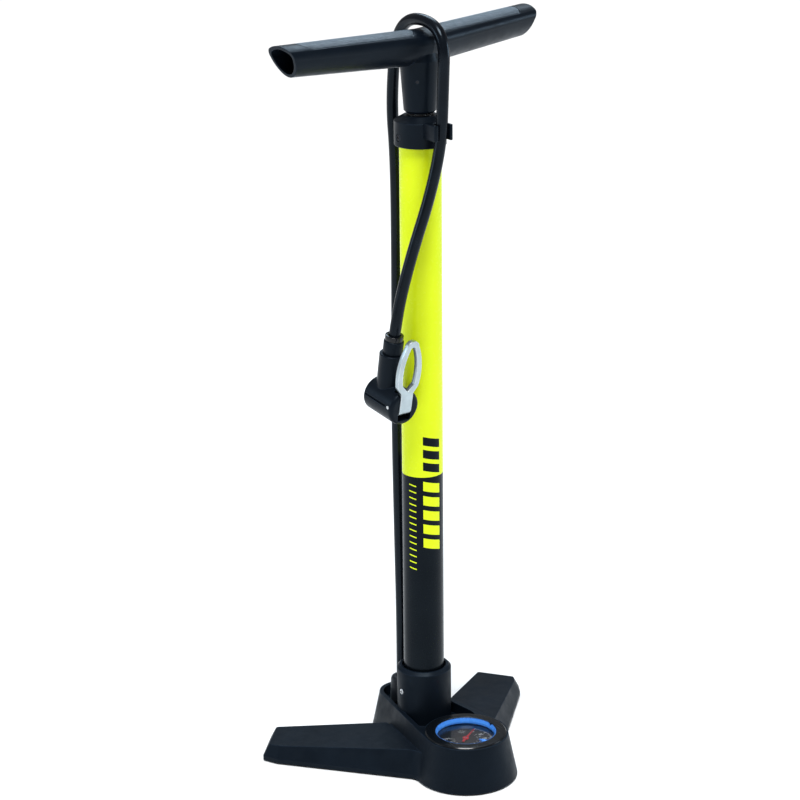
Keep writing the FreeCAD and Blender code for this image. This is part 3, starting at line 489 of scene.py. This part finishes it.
# ---------------------------------------------------------------- dial
GAUGE = Vector((0.0, -0.066, 0.0))
DIAL_TOP = 0.031
PRINT = 0.00004                 # how far the dial's printing stands up
ZERO_TURN = 55.0                # degrees clockwise from the back to the scale's zero
SCALE_SWEEP = 250.0
OUTER_SCALE = 0.0226            # how far from the middle the outer scale's lines reach
OUTER_STEPS = 64
OUTER_NUMBERS = 8               # numbered steps after zero, 20 apart
INNER_SCALE = 0.0140
INNER_STEPS = 11                # each of them numbered
WHEEL_TURN = 20.0               # degrees clockwise from the back to the printed wheel
WHEEL_DISTANCE = 0.0150
SPOKE_MIDDLE = 0.0023           # from the wheel's middle to half way along a spoke
SPOKE_LENGTH = 0.0027
SPOKE_WIDTH = 0.00022


def on_dial(turn, distance, height=0.0):
    """The place on the dial at a turn clockwise from the back, and a distance from the middle."""
    angle = math.radians(turn)
    return GAUGE + Vector((math.sin(angle) * distance, math.cos(angle) * distance, DIAL_TOP + height))


def tick(bm, turn, inner, outer, width):
    """One printed line of the scale."""
    middle = on_dial(turn, (inner + outer) / 2.0, PRINT / 2.0)
    shape = Matrix.Diagonal((width, outer - inner, PRINT, 1.0))
    place = Matrix.Translation(middle) @ Matrix.Rotation(-math.radians(turn), 4, "Z") @ shape
    bmesh.ops.create_cube(bm, size=1.0, matrix=place)


def scale_turn(share):
    """The turn of the place that far along the scale, from 0 to 1."""
    return ZERO_TURN + SCALE_SWEEP * share


def scale_lines(bm):
    """The outer scale's fine, middle and bold lines, and the inner scale's lines."""
    for step in range(OUTER_STEPS + 1):
        bold = step % 8 == 0
        middle = step % 4 == 0
        length = 0.0034 if bold else 0.0024 if middle else 0.0014
        width = 0.00065 if bold else 0.0003
        tick(bm, scale_turn(step / OUTER_STEPS), OUTER_SCALE - length, OUTER_SCALE, width)
    for step in range(INNER_STEPS + 1):
        tick(bm, scale_turn(step / INNER_STEPS), INNER_SCALE - 0.0020, INNER_SCALE, 0.0004)


def digits(bm, text, turn, distance, size):
    """Printed digits, upright for a reader who stands behind the pump."""
    curve = bpy.data.curves.new("digits", "FONT")
    curve.body = text
    curve.size = size
    curve.align_x = "CENTER"
    curve.align_y = "CENTER"
    curve.extrude = PRINT / 2.0
    obj = bpy.data.objects.new("digits", curve)
    mesh = bpy.data.meshes.new_from_object(obj)
    place = Matrix.Translation(on_dial(turn, distance, PRINT / 2.0)) @ Matrix.Rotation(math.pi, 4, "Z")
    mesh.transform(place)
    bm.from_mesh(mesh)
    bpy.data.objects.remove(obj)
    bpy.data.curves.remove(curve)
    bpy.data.meshes.remove(mesh)


def scale_digits(bm):
    """The numbers inside each scale's lines."""
    for step in range(OUTER_NUMBERS + 1):
        digits(bm, str(step * 20), scale_turn(step / OUTER_NUMBERS), 0.0163, 0.0042)
    for step in range(INNER_STEPS + 1):
        digits(bm, str(step), scale_turn(step / INNER_STEPS), 0.0104, 0.0022)


def printed_ring(bm, centre, inner, outer):
    """A flat printed circle line."""
    place = Matrix.Translation(centre)
    rim = bmesh.ops.create_circle(bm, cap_ends=True, segments=96, radius=outer, matrix=place)
    middle = rim["verts"][0].link_faces[0]
    band = bmesh.ops.inset_region(bm, faces=[middle], thickness=outer - inner)["faces"]
    bmesh.ops.delete(bm, geom=[middle], context="FACES_ONLY")
    raised = bmesh.ops.extrude_face_region(bm, geom=band)["geom"]
    lifted = [item for item in raised if isinstance(item, bmesh.types.BMVert)]
    bmesh.ops.translate(bm, verts=lifted, vec=(0.0, 0.0, PRINT))


def scale_rings(bm):
    """A circle round each scale, and a plain spoked wheel in the gap between zero and full."""
    printed_ring(bm, on_dial(0.0, 0.0), 0.0229, 0.0233)
    printed_ring(bm, on_dial(0.0, 0.0), 0.0144, 0.0146)
    wheel = on_dial(WHEEL_TURN, WHEEL_DISTANCE)
    printed_ring(bm, wheel, 0.0036, 0.0043)
    printed_ring(bm, wheel, 0.0006, 0.0011)
    for turn in range(0, 360, 45):
        angle = math.radians(turn)
        out = Vector((math.sin(angle), math.cos(angle), 0.0))
        middle = wheel + out * SPOKE_MIDDLE + Vector((0.0, 0.0, PRINT / 2.0))
        shape = Matrix.Diagonal((SPOKE_WIDTH, SPOKE_LENGTH, PRINT, 1.0))
        place = Matrix.Translation(middle) @ Matrix.Rotation(-angle, 4, "Z") @ shape
        bmesh.ops.create_cube(bm, size=1.0, matrix=place)


def dial_printing():
    """White ink on the black dial: scale, digits and a wheel."""
    ink = printed("dial_ink", rgb(0.90, 0.91, 0.92))
    piece("dial_scale", scale_lines, "pump", ink)
    piece("dial_digits", scale_digits, "pump", ink)
    piece("dial_rings", scale_rings, "pump", ink)


# ---------------------------------------------------------------- stage
AIM = Vector((0.0, 0.0, 0.3))           # the point on the barrel that every lamp faces
WHITE_LIGHT = (1.0, 1.0, 1.0)
COOL_LIGHT = (0.72, 0.87, 1.0)


def floor(bm):
    """A floor wide enough that its edge is never seen."""
    bmesh.ops.create_grid(bm, x_segments=1, y_segments=1, size=40.0)


def stage():
    """A pale floor under an even sky, one broad overhead light and three cool sheets of light."""
    paper = Finish("floor_paper", 0.9, specular=0.1)
    paper.colour(paper.mixed(paper.noise(3.0, 2.0), rgb(0.90, 0.90, 0.90), rgb(0.92, 0.92, 0.92)))
    piece("floor", floor, None, paper.made)
    world = bpy.data.worlds.new("studio")
    bpy.context.scene.world = world
    world.use_nodes = True
    sky = world.node_tree.nodes["Background"]
    sky.inputs["Color"].default_value = rgb(1.0, 1.0, 1.0)
    sky.inputs["Strength"].default_value = 0.30
    lamp("overhead", "SUN", (-0.30, -0.42, 1.6), 2.9, math.radians(28.0))
    lamp("left_strip", "AREA", (-1.25, 0.55, 0.75), 3.5, 0.5)
    lamp("right_strip", "AREA", (1.30, -0.60, 0.75), 5.0, 0.5)
    lamp("back_sheet", "AREA", (0.70, 1.12, 1.75), 12.0, 0.9)
    view = bpy.context.scene.view_settings
    view.view_transform = "Standard"
    view.gamma = 0.86


def lamp(name, kind, place, strength, spread):
    """A light facing the pump: spread is the angle of a sun, or the width of a sheet of light."""
    data = bpy.data.lights.new(name, kind)
    data.energy = strength
    if kind == "SUN":
        data.color = WHITE_LIGHT
        data.angle = spread
    else:
        data.color = COOL_LIGHT
        data.size = spread
    obj = bpy.data.objects.new(name, data)
    bpy.context.scene.collection.objects.link(obj)
    obj.location = place
    obj.rotation_euler = (AIM - Vector(place)).to_track_quat("-Z", "Y").to_euler()


# ---------------------------------------------------------------- pieces
BLACKENED = ("cap_screw", "neck_pin")
# Nodes that get rounded corners, and how wide the rounding is.
ROUNDED_ON_HOSE = {"lever": 0.0008, "head_nut": 0.0004, "crimp_ring": 0.0004}
ROUNDED = {"hose_clip": 0.0005, "gauge_bezel": 0.0004, "strain_relief": 0.0007}


def valve_spring(looks):
    """The check valve's spring, as a steel mesh of its own that rides on the pump."""
    bm = bmesh.new()
    bm.from_mesh(bpy.data.objects["valve_spring"].data)
    obj = finished("valve_spring_coils", bm, looks["steel"], 60.0)
    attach(obj, "pump")
    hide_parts("valve_spring")
    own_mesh(obj)


def hose(look, fittings):
    """The one length of hose, from the base over the handle to the hanging head."""
    line = route_line()
    obj = piece("hose", lambda bm: hose_tube(bm, line, HOSE_R, HOSE_SIDES), None, look, 60.0)
    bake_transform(obj)
    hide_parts("hose_rear", "hose_loop", "hose_front")


def dress(looks):
    """Every designed piece takes the finish of its slot, but for the blackened screw and pin up top."""
    blackened = bright_metal("black_steel", rgb(0.05, 0.055, 0.065), 0.35)
    for entry in frame["record"]["subparts"]:
        obj = bpy.data.objects.get(entry["node"])
        if obj:
            look = blackened if entry["node"] in BLACKENED else looks[entry["material_slot"]]
            obj.data.materials.clear()
            obj.data.materials.append(look)


camera()
LOOKS = slot_looks()
hose(LOOKS["hose_rubber"], [rounded(node, width, LOOKS) for node, width in ROUNDED_ON_HOSE.items()])
for node, width in ROUNDED.items():
    rounded(node, width, LOOKS)
valve_spring(LOOKS)
dial_printing()
dress(LOOKS)
stage()
